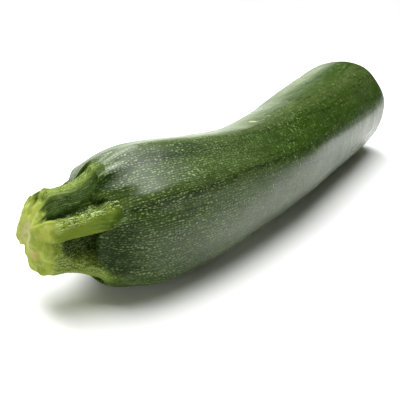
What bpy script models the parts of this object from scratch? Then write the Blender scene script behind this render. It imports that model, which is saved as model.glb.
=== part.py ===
"""Courgette lying as picked: the fruit, and the ribbed stub of its stalk.

Metres, +Z up. The surface it lies on is Z = 0, and the origin is on that surface, under the
middle of the courgette. It runs along +X, from the stalk to the blossom end, and bends in
the horizontal plane. Stations are distances along the axis from the joint between the stalk
and the fruit, so the stalk's are negative. Polar angles start level on the -Y side and turn
upwards.
"""
from math import pi, radians, tau

import bpy
import numpy as np

MM = 0.001

# Along the axis
STALK_LENGTH = 21.6 * MM
FRUIT_LENGTH = 178 * MM
JOINT_GAP = 0.3 * MM

# The bend, and the height of the axis above the surface
HEADING_AT_STALK = radians(-19)
HEADING_AT_BLOSSOM = radians(10.4)
BEND_FROM = 0 * MM
BEND_TO = 108 * MM
AXIS_HEIGHT_AT_SHOULDER = 21.8 * MM
AXIS_HEIGHT_AT_BULB = 21 * MM
STALK_LIFT = 2.8 * MM
AXIS_STEPS = 400

# Mean radius of the fruit
SHOULDER_RADIUS = 23 * MM
SHOULDER_STATION = 15.8 * MM
WAIST_RADIUS = 19 * MM
WAIST_STATION = 65 * MM
BULB_RADIUS = 21.7 * MM
BULB_STATION = 158 * MM
BLOSSOM_END_POWER = 3
SCAR_RADIUS = 5 * MM
SCAR_DEPTH = 0.8 * MM

# The five ribs of the stalk, which run on along the fruit as ridges and turn slowly about it
RIB_ANGLES = np.radians([38, 83, 155, 205, 318])
TWIST = radians(-22)
TWIST_FROM = 20 * MM
TWIST_TO = 150 * MM
RIDGE_HEIGHT = 1.8 * MM
RIDGE_FADE = 42 * MM
RIDGE_WIDTH = radians(10)
RIDGE_SPREAD = radians(12)

# The fruit's end around the stalk, as (station, radius) from the joint's edge to the shoulder,
# where the first two radii count from the stalk's foot and the last two from the shoulder's
# section: over a ridge it slopes on from the rib, and between ridges it bulges back
END_OVER_RIDGE = np.array([(0, 0.4), (2, 1.2), (8, -0.4), (15.8, 0)]) * MM
END_IN_VALLEY = np.array([(0, 1.4), (-7, 2.3), (-2, -0.7), (15.8, 0)]) * MM
END_RIDGE_HALF_WIDTH = radians(8)
END_VALLEY_HALF_WIDTH = radians(26)

# The stalk's section: five ribs with deep grooves between them, listed from the first rib on
RIB_RADIUS_AT_JOINT = 18.5 * MM
RIB_RADIUS_AT_NECK = 13.9 * MM
RIB_RADIUS_AT_CUT = 13 * MM
GROOVE_RADIUS_AT_JOINT = 9.4 * MM
GROOVE_RADII_AT_CUT = np.array([12.2, 9, 11.4, 8.6, 12.4]) * MM
NECK_FRACTION = 0.68
FLARE_POWER = 1.7
RIB_FACE_HALF_WIDTH = radians(9)
RIB_FOOT_HALF_WIDTH = radians(23)

# The cut end: a rounded rim round a low dome, cut unevenly, so that some ribs are shorter
CUT_RIM_ROUNDING = 2.8 * MM
CUT_DOME_HEIGHT = 2.6 * MM
CUT_SHORTER_AT_RIBS = np.array([0.3, 4.2, 0.2, -1.4, 0]) * MM

# Facets
POINTS_BETWEEN_RIBS = 16
END_RINGS = 12
BODY_RINGS = 24
BLOSSOM_RINGS = 11
STALK_RINGS = 11
CUT_RINGS = 5


def smoothstep(start, end, value):
    """Rise smoothly from 0 at start to 1 at end."""
    t = np.clip((value - start) / (end - start), 0, 1)
    return t * t * (3 - 2 * t)


def mix(first, second, share):
    """Blend from first to second."""
    return first + (second - first) * share


def axis_frames(stations):
    """Centre, side and up directions of the cross-sections at the stations."""
    line = np.linspace(-STALK_LENGTH, FRUIT_LENGTH, AXIS_STEPS)
    heading = mix(HEADING_AT_STALK, HEADING_AT_BLOSSOM, smoothstep(BEND_FROM, BEND_TO, line))
    height = mix(AXIS_HEIGHT_AT_SHOULDER, AXIS_HEIGHT_AT_BULB,
                 np.clip((line - SHOULDER_STATION) / (BULB_STATION - SHOULDER_STATION), 0, 1))
    to_cut = np.clip((SHOULDER_STATION - line) / (SHOULDER_STATION + STALK_LENGTH), 0, 1)
    height = height + STALK_LIFT * to_cut ** 2
    step = line[1] - line[0]
    middle = (heading[1:] + heading[:-1]) / 2
    x = np.concatenate([[0], np.cumsum(np.cos(middle)) * step])
    y = np.concatenate([[0], np.cumsum(np.sin(middle)) * step])
    pitch = np.arctan(np.gradient(height, step))
    x, y, z, h, p = (np.interp(stations, line, curve) for curve in (x, y, height, heading, pitch))
    centre = np.stack([x, y, z], -1)
    side = np.stack([np.sin(h), -np.cos(h), np.zeros_like(h)], -1)
    up = np.stack([-np.cos(h) * np.sin(p), -np.sin(h) * np.sin(p), np.cos(p)], -1)
    return centre, side, up


def angles_around():
    """Polar angles of a ring's points, evenly spread between neighbouring ribs."""
    following = np.append(RIB_ANGLES[1:], RIB_ANGLES[0] + tau)
    sectors = [np.linspace(rib, end, POINTS_BETWEEN_RIBS, endpoint=False)
               for rib, end in zip(RIB_ANGLES, following)]
    return np.concatenate(sectors)


def surface(stations, radii, around):
    """Points at stations and radii, at polar angles that turn with the ridges."""
    stations, radii = np.broadcast_arrays(stations, radii)
    centre, side, up = axis_frames(stations)
    angle = around + TWIST * smoothstep(TWIST_FROM, TWIST_TO, stations)
    outward = np.cos(angle)[..., None] * side + np.sin(angle)[..., None] * up
    return centre + radii[..., None] * outward


def angle_from_rib(around):
    """Angle to the nearest rib."""
    offset = around[:, None] - RIB_ANGLES
    return np.abs((offset + pi) % tau - pi).min(1)


def ridge(station, from_rib):
    """Height of the ridges above the fruit's mean radius."""
    along = np.maximum(station - SHOULDER_STATION, 0)
    height = RIDGE_HEIGHT * np.exp(-along / RIDGE_FADE)
    width = RIDGE_WIDTH + RIDGE_SPREAD * (1 - np.exp(-along / RIDGE_FADE))
    return height * np.exp(-(from_rib / width) ** 2)


def body_radius(station):
    """Mean radius of the fruit from the shoulder to the bulb."""
    to_waist = mix(SHOULDER_RADIUS, WAIST_RADIUS, smoothstep(SHOULDER_STATION, WAIST_STATION, station))
    to_bulb = mix(WAIST_RADIUS, BULB_RADIUS, smoothstep(WAIST_STATION, BULB_STATION, station))
    return np.where(station < WAIST_STATION, to_waist, to_bulb)


def bezier(points, t):
    """Cubic curve through control points of shape (4, ..., 2)."""
    u = 1 - t
    return (u ** 3 * points[0] + 3 * u * u * t * points[1]
            + 3 * u * t * t * points[2] + t ** 3 * points[3])


def fruit_end_rings(around):
    """Rings from the joint's flat face over the shoulder."""
    from_rib = angle_from_rib(around)
    valley = smoothstep(END_RIDGE_HALF_WIDTH, END_VALLEY_HALF_WIDTH, from_rib)[None, :, None]
    control = mix(END_OVER_RIDGE[:, None], END_IN_VALLEY[:, None], valley)
    control[:2, :, 1] += stalk_radius(0, around)
    control[2:, :, 1] += SHOULDER_RADIUS + ridge(SHOULDER_STATION, from_rib)
    rings = []
    for share in (0.35, 0.7):
        rings.append(surface(0, control[0, :, 1] * share, around))
    for t in np.linspace(0, 1, END_RINGS):
        station, radius = np.moveaxis(bezier(control, t), -1, 0)
        rings.append(surface(station, radius, around))
    return rings


def fruit_body_rings(around):
    """Rings from the shoulder to the bulb."""
    from_rib = angle_from_rib(around)
    rings = []
    for station in np.linspace(SHOULDER_STATION, BULB_STATION, BODY_RINGS + 1)[1:]:
        radius = body_radius(station) + ridge(station, from_rib)
        rings.append(surface(station, radius, around))
    return rings


def blossom_end_rings(around):
    """Rings of the blunt blossom end, down to the shallow scar of the blossom."""
    from_rib = angle_from_rib(around)
    reach = FRUIT_LENGTH - BULB_STATION
    rings = []
    for turn in np.linspace(0, pi / 2, BLOSSOM_RINGS + 1)[1:]:
        mean = BULB_RADIUS * np.cos(turn)
        if mean < SCAR_RADIUS:
            break
        station = BULB_STATION + reach * (1 - np.cos(turn) ** 2) ** (1 / BLOSSOM_END_POWER)
        radius = mean + ridge(station, from_rib) * np.cos(turn)
        rings.append(surface(station, radius, around))
    for share in (1.0, 0.6):
        depth = SCAR_DEPTH * (1 - share ** 2)
        rings.append(surface(FRUIT_LENGTH - depth, np.full_like(around, SCAR_RADIUS * share), around))
    return rings


def stalk_radius(fraction, around):
    """Radius of the stalk at a fraction of its length from the joint."""
    from_rib = angle_from_rib(around)
    at_cut = GROOVE_RADII_AT_CUT[np.searchsorted(RIB_ANGLES, around % tau, side="right") - 1]
    flare = (1 - np.clip(fraction / NECK_FRACTION, 0, 1)) ** FLARE_POWER
    rib = mix(RIB_RADIUS_AT_NECK, RIB_RADIUS_AT_JOINT, flare)
    rib = mix(rib, RIB_RADIUS_AT_CUT, smoothstep(NECK_FRACTION, 1, fraction))
    groove = mix(GROOVE_RADIUS_AT_JOINT, at_cut, smoothstep(0, 1, fraction))
    return mix(rib, groove, smoothstep(RIB_FACE_HALF_WIDTH, RIB_FOOT_HALF_WIDTH, from_rib))


def stalk_rings(around):
    """Rings from the joint, over the rounded rim of the cut end, to its dome."""
    shorter = np.interp(around, RIB_ANGLES, CUT_SHORTER_AT_RIBS, period=tau)
    rim = -STALK_LENGTH + CUT_DOME_HEIGHT + CUT_RIM_ROUNDING
    rings = []
    for share in (0.35, 0.7):
        rings.append(surface(-JOINT_GAP, stalk_radius(0, around) * share, around))
    for fraction in np.linspace(0, 1, STALK_RINGS + 1):
        station = mix(-JOINT_GAP, rim + shorter, fraction)
        rings.append(surface(station, stalk_radius(fraction, around), around))
    rim_radius = stalk_radius(1, around) - CUT_RIM_ROUNDING
    for turn in np.linspace(0, pi / 2, CUT_RINGS + 1)[1:]:
        station = rim + shorter - CUT_RIM_ROUNDING * np.sin(turn)
        rings.append(surface(station, rim_radius + CUT_RIM_ROUNDING * np.cos(turn), around))
    for share in (0.75, 0.5, 0.25):
        station = rim + shorter * share - CUT_RIM_ROUNDING - CUT_DOME_HEIGHT * (1 - share ** 2)
        rings.append(surface(station, rim_radius * share, around))
    return rings


def closed_mesh(name, rings):
    """Skin rings, listed towards the blossom end, into one closed body with a fan at each end."""
    rings = np.array(rings)
    ring_count, around = rings.shape[:2]
    points = rings.reshape(-1, 3)
    first_pole = len(points)
    points = np.concatenate([points, [rings[0].mean(0), rings[-1].mean(0)]])
    faces = []
    for ring in range(ring_count - 1):
        for point in range(around):
            following = (point + 1) % around
            near, far = ring * around, (ring + 1) * around
            faces.append((near + following, near + point, far + point, far + following))
    last = (ring_count - 1) * around
    for point in range(around):
        following = (point + 1) % around
        faces.append((point, following, first_pole))
        faces.append((last + following, last + point, first_pole + 1))
    mesh = bpy.data.meshes.new(name)
    mesh.from_pydata(points.tolist(), [], faces)
    return mesh


def skin_material(name, colour, roughness):
    """Plain plant skin."""
    material = bpy.data.materials.new(name)
    material.use_nodes = True
    shader = material.node_tree.nodes["Principled BSDF"]
    shader.inputs["Base Color"].default_value = (*colour, 1)
    shader.inputs["Roughness"].default_value = roughness
    shader.inputs["Metallic"].default_value = 0
    return material


def add_piece(name, mesh, material):
    """Put a finished mesh in the scene as one named piece."""
    mesh.materials.append(material)
    mesh.shade_smooth()
    mesh.set_sharp_from_angle(angle=radians(50))
    piece = bpy.data.objects.new(name, mesh)
    bpy.context.scene.collection.objects.link(piece)
    return piece


def settle(meshes):
    """Centre the meshes over the origin and flatten their underside on the surface."""
    clouds = []
    for mesh in meshes:
        points = np.empty(len(mesh.vertices) * 3)
        mesh.vertices.foreach_get("co", points)
        clouds.append(points.reshape(-1, 3))
    cloud = np.concatenate(clouds)
    centre = (cloud.min(0) + cloud.max(0)) / 2
    for mesh, points in zip(meshes, clouds):
        points[:, :2] -= centre[:2]
        points[:, 2] = np.maximum(points[:, 2], 0)
        mesh.vertices.foreach_set("co", points.ravel())
        mesh.update()


def build():
    """Model the courgette."""
    for old in list(bpy.data.objects):
        bpy.data.objects.remove(old)
    around = angles_around()
    fruit = closed_mesh(
        "fruit", fruit_end_rings(around) + fruit_body_rings(around) + blossom_end_rings(around))
    stem = closed_mesh("stem", stalk_rings(around)[::-1])
    settle([fruit, stem])
    add_piece("fruit", fruit, skin_material("fruit_skin", (0.055, 0.085, 0.022), 0.3))
    add_piece("stem", stem, skin_material("stem_skin", (0.20, 0.27, 0.07), 0.45))


build()
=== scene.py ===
"""Courgette lying as picked on a white table: its skin, its cut stalk and the stalk's bristles.

Metres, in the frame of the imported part: +Z up, the table at Z = 0, stalk towards -X. Stations
are distances along the courgette's axis from the joint between stalk and fruit, so the stalk's
are negative. Polar angles start level on the -Y side and turn upwards.
"""

from math import cos, pi, radians, sin, tau

import bpy
import numpy as np
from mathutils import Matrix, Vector, noise


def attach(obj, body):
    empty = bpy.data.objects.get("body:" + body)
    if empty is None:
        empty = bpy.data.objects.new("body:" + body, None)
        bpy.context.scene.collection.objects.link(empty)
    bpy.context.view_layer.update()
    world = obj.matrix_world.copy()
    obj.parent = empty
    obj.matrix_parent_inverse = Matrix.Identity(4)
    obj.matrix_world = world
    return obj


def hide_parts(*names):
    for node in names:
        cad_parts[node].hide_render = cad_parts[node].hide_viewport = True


bl_info = {
    "name": "Courgette",
    "version": (1, 0, 0),
    "blender": (4, 5, 0),
    "location": "3D View > Sidebar > Courgette",
    "description": "Builds a courgette with its cut stalk, lying on a white table",
    "category": "Add Mesh",
}

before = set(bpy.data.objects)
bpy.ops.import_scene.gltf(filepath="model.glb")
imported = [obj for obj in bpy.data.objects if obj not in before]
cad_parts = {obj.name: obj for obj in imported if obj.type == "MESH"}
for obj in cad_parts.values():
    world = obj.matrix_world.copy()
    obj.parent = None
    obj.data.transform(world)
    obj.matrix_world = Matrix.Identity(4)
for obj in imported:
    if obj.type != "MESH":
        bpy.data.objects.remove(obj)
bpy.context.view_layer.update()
MM = 0.001

# Axis: where the joint between stalk and fruit lies over the table in mm, and its line from there
JOINT_PLACE = (-77.03, 4.40)
STALK_LENGTH = 21.6 * MM
AXIS_START, AXIS_END = -28 * MM, 180 * MM
HEADINGS = radians(-19), radians(10.4)
BEND_TO = 108 * MM
AXIS_HEIGHTS = 21.8 * MM, 21 * MM
STALK_LIFT = 2.8 * MM
AXIS_STEPS = 500

# Ribs of the stalk, which run on as ridges of the fruit and turn slowly about it. Their feet
# stand at angles of their own, and the ridges lean over to the ribs' angles along the end.
RIB_ANGLES = np.radians([38, 83, 155, 205, 318])
FOOT_ANGLES = np.radians([33, 83, 155, 205, 315])
FOOT_LEAN_END = 0.7
SHOULDER_STATION, WAIST_STATION, BULB_STATION = 15.8 * MM, 65 * MM, 158 * MM
# In mm: radius of the shoulder, and the ridges' height on it
SHOULDER_RADIUS, RIDGE_HEIGHT = 23, 1.8
RIDGE_SPREAD, RIDGE_SPREAD_GROWTH = radians(10), radians(7)
TWIST_STATIONS = 20 * MM, 150 * MM

# The fruit's end round the stalk, as cubic control points from the foot to the shoulder:
# station, and what is added to the radius, in mm
END_OVER_RIDGE = [(0, 0.4), (2, 1.2), (8, -0.4), (15.8, 0)]
END_IN_VALLEY = [(0, 1.4), (-8.5, 2.3), (-2.5, -0.7), (15.8, 0)]
# Angles from a rib between which the end passes from its ridge to its valley, and between which
# its foot falls from the rib's radius to the groove's
END_RIDGE_HALF_WIDTH, END_VALLEY_HALF_WIDTH = radians(6), radians(24)
FOOT_RIB, FOOT_GROOVE = radians(12), radians(25)

# Edges of the stalk's ribs in degrees, at the joint and at the cut, and the ribs' crests at both
RIB_EDGES_AT_JOINT = [(18, 37), (66, 99), (140, 172), (192, 222), (298, 329)]
RIB_EDGES_AT_CUT = [(9, 38.5), (47, 106), (128, 171), (177, 222), (258, 366)]
RIB_CRESTS = [(36, 22), (84, 80), (155, 150), (206, 200), (318, 318)]
# Radius over the ribs at the joint, the neck and the cut
RIB_RADII = 18.5 * MM, 13.9 * MM, 13 * MM
# Radius in the grooves: of the fruit's foot, and of the stalk after each rib
GROOVE_RADIUS_AT_JOINT = 9.2 * MM
GROOVE_RADII_AT_JOINT = np.array([14.8, 13.6, 9.2, 9.2, 9.2]) * MM
GROOVE_RADII_AT_CUT = np.array([12.2, 9, 11.4, 8.6, 12.4]) * MM
NECK_SHARE, FLARE_POWER = 0.68, 1.7
CUT_SHORTER_AT_RIBS = np.array([0.3, 4.2, 0.2, -1.4, 0]) * MM


# ---- Sizes and colours that a user would change ----------------------------

def length_property(name, description, millimetres):
    """A length, with its default in millimetres."""
    return bpy.props.FloatProperty(
        name=name, description=description, default=millimetres * MM, unit="LENGTH", precision=4)


def colour_property(name, description, colour):
    """A linear colour."""
    return bpy.props.FloatVectorProperty(
        name=name, description=description, default=colour, size=3, subtype="COLOR", min=0, max=1)


class CourgetteFruit(bpy.types.PropertyGroup):
    """Sizes of the fruit."""
    length: length_property("Length", "From the joint to the blossom end, along the axis", 178)
    shoulder: length_property("Shoulder radius", "Radius behind the stalk", SHOULDER_RADIUS)
    waist: length_property("Waist radius", "Radius where the fruit is thinnest", 19)
    bulb: length_property("Bulb radius", "Radius near the blossom end", 21.7)
    ridge: length_property("Ridge height", "Height of the ridges at the shoulder", RIDGE_HEIGHT)
    fade: length_property("Ridge fade", "Length over which the ridges sink away", 42)
    twist: bpy.props.FloatProperty(
        name="Twist", description="Turn of the ridges about the axis", default=radians(-22),
        subtype="ANGLE")
    swell: length_property("Unevenness", "Height of the slow swellings of the skin", 0.5)
    dimple: length_property("Blossom scar depth", "Depth of the scar at the blossom end", 0.8)


class CourgetteStalk(bpy.types.PropertyGroup):
    """Sizes of the stalk and its bristles."""
    fibre: length_property("Fibre height", "Height of the fibres along the ribs", 0.16)
    lump: length_property("Lump height", "Height of the lumps round the cut", 0.9)
    tongue: length_property("Tongue length", "How far the rib tips reach over the fruit", 2.4)
    tongue_height: length_property("Tongue height", "How far the rib tips stand proud", 0.3)
    bristles: bpy.props.IntProperty(
        name="Bristles", description="Bristles per square centimetre", default=60, min=0)
    bristle_length: length_property("Bristle length", "Length of the longest bristles", 0.45)
    bristle_radius: length_property("Bristle radius", "Radius at a bristle's foot", 0.08)
    seed: bpy.props.IntProperty(
        name="Seed", description="Which scatter of bristles is drawn", default=7)


class CourgetteColours(bpy.types.PropertyGroup):
    """Colours of the skin and the stalk."""
    skin: colour_property("Skin", "Main green of the skin", (0.028, 0.060, 0.005))
    # Deep skin is also used for the painted shade in the creases round the stalk and below the
    # ridges
    skin_deep: colour_property("Deep skin", "Green of the darkest streaks", (0.008, 0.020, 0.002))
    # Pale skin is also used for the painted highlight along the ridge crests
    skin_pale: colour_property("Pale skin", "Green of the palest bands", (0.050, 0.078, 0.018))
    skin_far: colour_property("Far skin", "Green towards the blossom end", (0.021, 0.053, 0.002))
    fleck: colour_property("Flecks", "Colour of the pale flecks", (0.20, 0.28, 0.10))
    lime: colour_property("Lime", "Yellower green of the rib tips", (0.085, 0.14, 0.015))
    scuff: colour_property("Scuff", "Brown of the small scars", (0.055, 0.048, 0.016))
    rib: colour_property("Rib", "Olive green of the stalk's ribs", (0.17, 0.235, 0.026))
    # Groove colour is the painted shade in the stalk's grooves
    groove: colour_property("Groove", "Dark green of the stalk's grooves", (0.011, 0.027, 0.002))
    # Dark rib is the painted shade on the ribs' flanks, and also the dark streaks and mottling
    rib_dark: colour_property("Dark rib", "Dark green flanks of the ribs", (0.009, 0.027, 0.001))
    bristle: colour_property("Bristles", "Pale specks and bristles", (0.42, 0.52, 0.20))
    cut: colour_property("Cut", "Yellow-green of the cut end", (0.28, 0.32, 0.055))
    pith: colour_property("Pith", "Beige at the middle of the cut", (0.42, 0.40, 0.20))
    blush: colour_property("Blush", "Reddish spot at the rim of the cut", (0.36, 0.24, 0.09))


class CourgetteStudio(bpy.types.PropertyGroup):
    """The table, the light and the camera."""
    table: bpy.props.FloatProperty(
        name="Table", description="Side of the white table", default=2.4, unit="LENGTH")
    light: bpy.props.FloatProperty(
        name="Light", description="Brightness of all lights together", default=1, min=0)
    lens: bpy.props.FloatProperty(
        name="Lens", description="Focal length of the camera in millimetres", default=58.5)


# ---- Nodes written as Python expressions -----------------------------------

def pick(sockets, key):
    """The socket at an index, or the first enabled one with a name or identifier."""
    if isinstance(key, int):
        return sockets[key]
    return next(s for s in sockets if s.enabled and key in (s.name, s.identifier))


def operator(name, reflected=False):
    """A Math node as a Python operator; a reflected one takes its operands the other way round."""
    def apply(self, other):
        return self.net.maths(name, *((other, self) if reflected else (self, other)))
    return apply


class Value:
    """A node's output that takes part in Python arithmetic."""

    def __init__(self, net, socket):
        self.net, self.socket = net, socket

    def out(self, key):
        """Another output of the same node."""
        return Value(self.net, pick(self.socket.node.outputs, key))

    def __neg__(self):
        return self * -1

    __add__ = __radd__ = operator("ADD")
    __mul__ = __rmul__ = operator("MULTIPLY")
    __sub__, __rsub__ = operator("SUBTRACT"), operator("SUBTRACT", True)
    __truediv__, __rtruediv__ = operator("DIVIDE"), operator("DIVIDE", True)
    __pow__, __rpow__ = operator("POWER"), operator("POWER", True)


class Net:
    """Adds nodes to a shader or geometry tree."""

    def __init__(self, tree):
        self.tree = tree

    def node(self, kind, settings=None, inputs=None, out=0):
        """A node: its settings first, then the values or links of its sockets; gives an output."""
        node = self.tree.nodes.new(kind)
        for name, value in (settings or {}).items():
            setattr(node, name, value)
        for key, value in (inputs or {}).items():
            socket = pick(node.inputs, key)
            if isinstance(value, Value):
                self.tree.links.new(value.socket, socket)
            else:
                socket.default_value = value
        return Value(self, pick(node.outputs, out))

    def maths(self, operation, *values):
        """A Math node."""
        return self.node("ShaderNodeMath", {"operation": operation}, dict(enumerate(values)))

    def vectors(self, operation, *values):
        """A Vector Math node."""
        return self.node("ShaderNodeVectorMath", {"operation": operation}, dict(enumerate(values)))

    def scaled(self, vector, factor):
        """A vector times a number."""
        return self.node("ShaderNodeVectorMath", {"operation": "SCALE"},
                         {0: vector, "Scale": factor})

    def vector(self, x=0.0, y=0.0, z=0.0):
        """Three numbers as a vector."""
        return self.node("ShaderNodeCombineXYZ", None, {0: x, 1: y, 2: z})

    def split(self, vector):
        """A vector's three numbers."""
        x = self.node("ShaderNodeSeparateXYZ", None, {0: vector})
        return x, x.out("Y"), x.out("Z")

    def around(self, length, angle, turns):
        """A place on a ring, for noise that closes round the courgette."""
        return self.vector(length, self.maths("COSINE", angle) * turns,
                           self.maths("SINE", angle) * turns)

    def ramp(self, value, start, end, low=0.0, high=1.0, shape="SMOOTHSTEP"):
        """Goes from low to high while the value goes from start to end."""
        return self.node("ShaderNodeMapRange", {"interpolation_type": shape}, {
            "Value": value, "From Min": start, "From Max": end, "To Min": low, "To Max": high})

    def bell(self, value, centre, width):
        """1 where the value is at the centre, falling to 0 over about twice the width."""
        offset = (value - centre) / width
        return self.maths("EXPONENT", -(offset * offset))

    def smooth_noise(self, vector, detail=2.0, roughness=0.5):
        """Noise between 0 and 1."""
        return self.node("ShaderNodeTexNoise", None, {
            "Vector": vector, "Scale": 1.0, "Detail": detail, "Roughness": roughness})

    def place_noise(self, size, detail=2.0, roughness=0.5):
        """Noise over the object's own coordinates, with features of a size in mm."""
        place = self.node("ShaderNodeTexCoord", None, None, "Object")
        return self.smooth_noise(self.scaled(place, 1 / (size * MM)), detail, roughness)

    def attribute(self, name):
        """A number stored on the mesh, for a material."""
        return self.node("ShaderNodeAttribute", {"attribute_name": name}, None, "Fac")

    def blend(self, share, first, second):
        """Colours mixed by a share."""
        return self.node("ShaderNodeMix", {"data_type": "RGBA"}, {
            "Factor_Float": share, "A_Color": rgba(first), "B_Color": rgba(second)},
            "Result_Color")

    def coats(self, base, *coats):
        """Coats of colour laid over the base in order, each by its share."""
        for share, colour in coats:
            base = self.blend(share, base, colour)
        return base

    def bump(self, relief, strength, height):
        """Normals of a fine relief."""
        return self.node("ShaderNodeBump", None, {
            "Strength": strength, "Distance": height, "Height": relief})

    def feed(self, node, **values):
        """Link values to a node's sockets, named with _ for a space."""
        for name, value in values.items():
            self.tree.links.new(value.socket, node.inputs[name.replace("_", " ")])


def rgba(colour):
    """A colour property as a socket's value; links pass unchanged."""
    return colour if isinstance(colour, Value) else (*colour, 1)


def new_material(name):
    """A material, its net and its Principled shader."""
    material = bpy.data.materials.new(name)
    material.use_nodes = True
    net = Net(material.node_tree)
    return material, net, next(n for n in net.tree.nodes if n.type == "BSDF_PRINCIPLED")


# ---- Shapes shared by the pieces -------------------------------------------

def smoothstep(start, end, value):
    """Rise smoothly from 0 at start to 1 at end."""
    t = np.clip((value - start) / (end - start), 0, 1)
    return t * t * (3 - 2 * t)


def mix(first, second, share):
    """Blend from first to second."""
    return first + (second - first) * share


def axis_frames(stations):
    """Centre, side and up directions of the cross-sections at the stations."""
    line = np.linspace(AXIS_START, AXIS_END, AXIS_STEPS)
    heading = mix(*HEADINGS, smoothstep(0, BEND_TO, line))
    height = mix(*AXIS_HEIGHTS, np.clip(
        (line - SHOULDER_STATION) / (BULB_STATION - SHOULDER_STATION), 0, 1))
    to_cut = np.maximum((SHOULDER_STATION - line) / (SHOULDER_STATION + STALK_LENGTH), 0)
    height = height + STALK_LIFT * to_cut ** 2
    step = line[1] - line[0]
    middle = (heading[1:] + heading[:-1]) / 2
    x = np.concatenate([[0], np.cumsum(np.cos(middle)) * step])
    y = np.concatenate([[0], np.cumsum(np.sin(middle)) * step])
    x += JOINT_PLACE[0] * MM - np.interp(0, line, x)
    y += JOINT_PLACE[1] * MM - np.interp(0, line, y)
    pitch = np.arctan(np.gradient(height, step))
    x, y, z, h, p = (np.interp(stations, line, curve) for curve in (x, y, height, heading, pitch))
    centre = np.stack([x, y, z], -1)
    side = np.stack([np.sin(h), -np.cos(h), np.zeros_like(h)], -1)
    up = np.stack([-np.cos(h) * np.sin(p), -np.sin(h) * np.sin(p), np.cos(p)], -1)
    return centre, side, up


def add_object(name, data):
    """A new object in the scene."""
    piece = bpy.data.objects.new(name, data)
    bpy.context.scene.collection.objects.link(piece)
    return piece


def finish_piece(piece, node):
    """Fix the piece to the part, in place of its CAD node if it has one."""
    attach(piece, "root")
    if node:
        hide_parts(node)


def grown(carrier, tree, inputs, name):
    """The carrier after a tree, as an object with a plain mesh; the carrier is removed."""
    modifier = carrier.modifiers.new(tree.name, "NODES")
    modifier.node_group = tree
    for item in tree.interface.items_tree:
        if item.in_out == "INPUT" and item.name in inputs:
            modifier[item.identifier] = inputs[item.name]
    bpy.context.view_layer.update()
    evaluated = carrier.evaluated_get(bpy.context.evaluated_depsgraph_get())
    mesh = bpy.data.meshes.new_from_object(evaluated)
    mesh.name = name
    bpy.data.objects.remove(carrier)
    return add_object(name, mesh)


def open_tree(name, inputs):
    """A geometry tree with named inputs: its net, and its inputs by name."""
    tree = bpy.data.node_groups.new(name, "GeometryNodeTree")
    face = tree.interface
    face.new_socket("Geometry", in_out="INPUT", socket_type="NodeSocketGeometry")
    for label, kind in inputs:
        face.new_socket(label, in_out="INPUT", socket_type="NodeSocket" + kind)
    face.new_socket("Geometry", in_out="OUTPUT", socket_type="NodeSocketGeometry")
    net = Net(tree)
    given = net.node("NodeGroupInput")
    return net, {label: given.out(label) for label in ["Geometry"] + [i[0] for i in inputs]}


def close_tree(net, geometry, material):
    """End the tree in Realize Instances and Set Material."""
    solid = net.node("GeometryNodeRealizeInstances", None, {"Geometry": geometry})
    painted = net.node("GeometryNodeSetMaterial", None, {"Geometry": solid, "Material": material})
    output = net.tree.nodes.new("NodeGroupOutput")
    net.tree.links.new(painted.socket, output.inputs[0])


# ---- Fruit -----------------------------------------------------------------

FRUIT_SIZES = ("Length", "Shoulder", "Waist", "Bulb", "Ridge", "Fade", "Twist", "Swell", "Dimple")
FRUIT_RINGS, FRUIT_AROUND = 420, 224
SEAM = radians(-98)
MAP_LENGTH = 0.2
# Where the end's disc, the end round the stalk and the body stop, as shares of the rings
DISC_SHARE, END_SHARE, BODY_SHARE = 0.015, 0.24, 0.82
SCAR_RADII = 5.6 * MM, 3.6 * MM


def cubic(points, t):
    """Value of a cubic curve with four control values."""
    a, b, c, d = points
    k1, k2, k3 = 3 * (b - a), 3 * (c - 2 * b + a), d - 3 * c + 3 * b - a
    return ((t * k3 + k2) * t + k1) * t + a


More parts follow.
